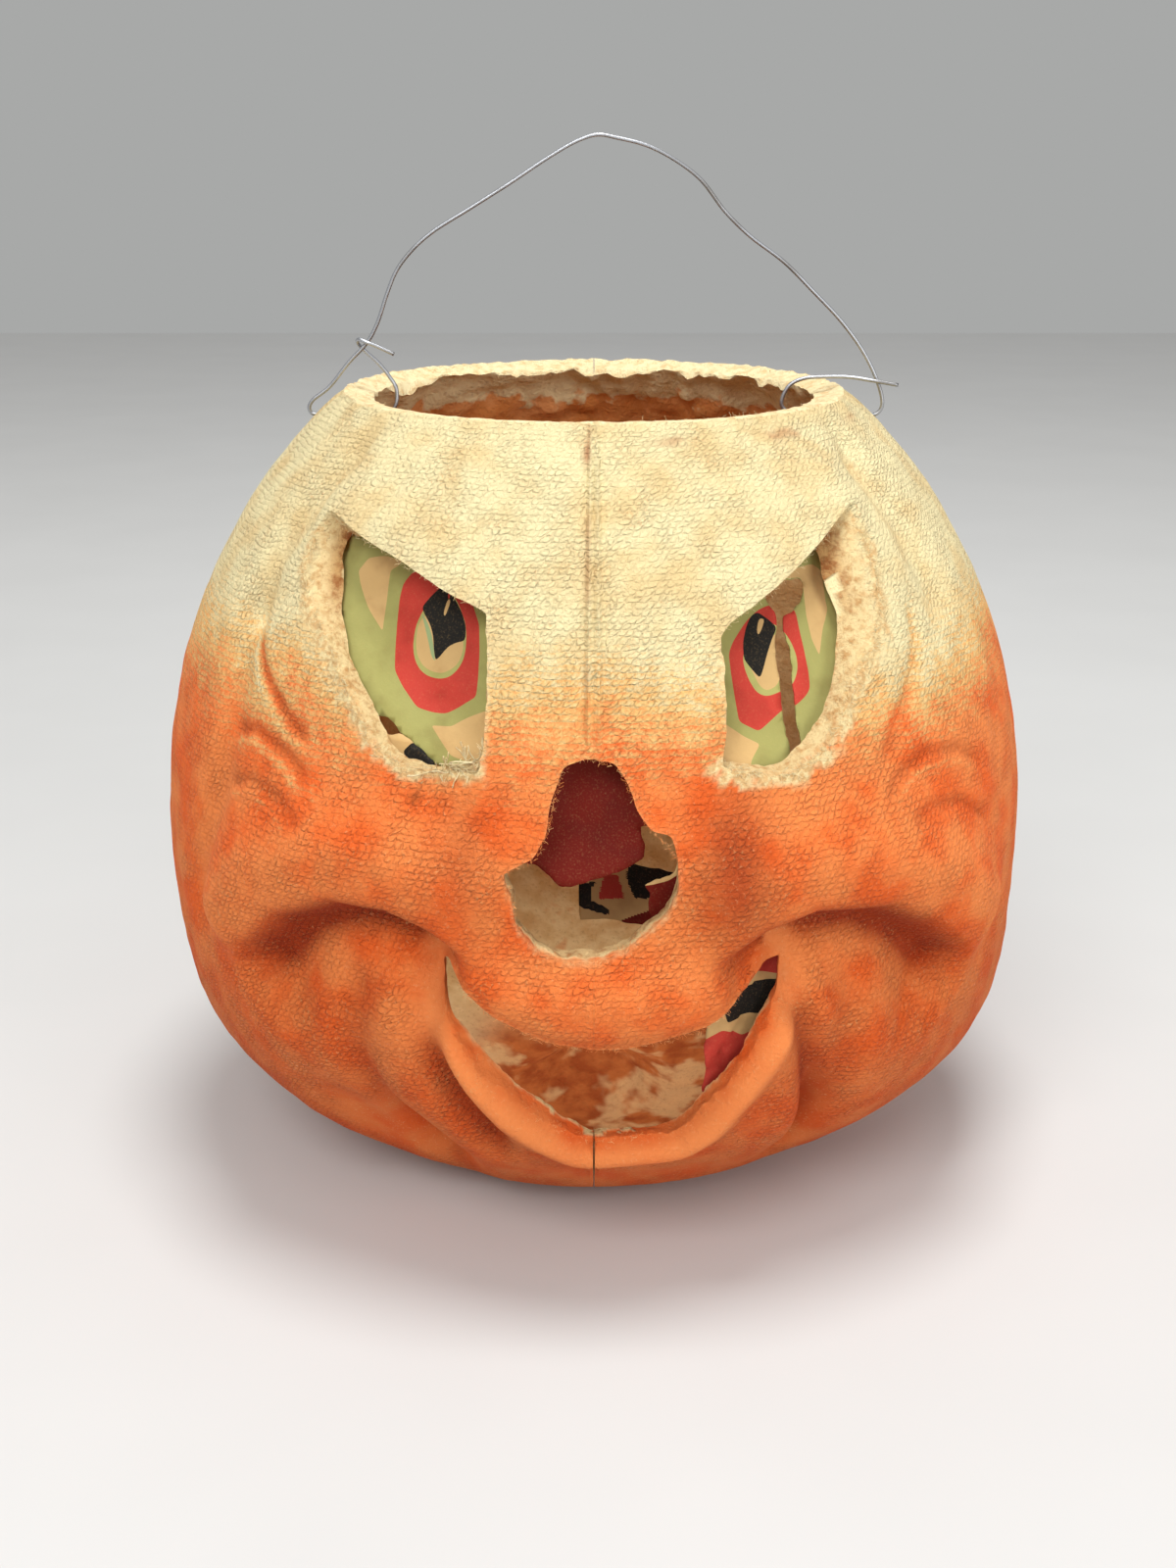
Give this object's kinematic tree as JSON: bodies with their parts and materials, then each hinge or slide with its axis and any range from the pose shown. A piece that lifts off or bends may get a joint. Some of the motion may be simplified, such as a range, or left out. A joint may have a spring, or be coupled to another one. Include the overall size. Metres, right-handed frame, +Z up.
{
  "type": "paper mache jack-o-lantern",
  "caption": "Round moulded paper pulp lantern with a cut-out smiling face, printed papers pasted behind the eyes, nose and mouth, an open top and a swinging wire bail.",
  "frame": {"origin": "on the surface that the lantern stands on, under the middle of the foot", "axes": "+Z up, the face looks towards -Y, +X to the right as seen from in front"},
  "size_m": [0.152, 0.1517, 0.1761],
  "materials": {
    "painted_pulp": "matte moulded paper pulp, screen texture, pale cream at the top fading to orange",
    "eye_print": "matte printed paper, green ground with a red ring and a black pupil",
    "nose_print": "matte dark red printed paper, torn edges",
    "mouth_print": "matte printed paper in red, black and cream, torn edges",
    "wire": "dull grey steel wire"
  },
  "bodies": {
    "shell": {"shell_left_half": "painted_pulp", "shell_right_half": "painted_pulp", "eye_print_left": "eye_print", "eye_print_right": "eye_print", "eye_print_scrap": "mouth_print", "nose_print": "nose_print", "nose_print_scrap": "nose_print", "mouth_print": "mouth_print"},
    "bail": {"bail_wire": "wire"}
  },
  "joints": [
    {"name": "bail_swing", "type": "hinge", "parent": "shell", "child": "bail", "pos_m": [0, 0, 0.1305], "axis": [1, 0, 0], "range_deg": [-35, 35]}
  ]
}
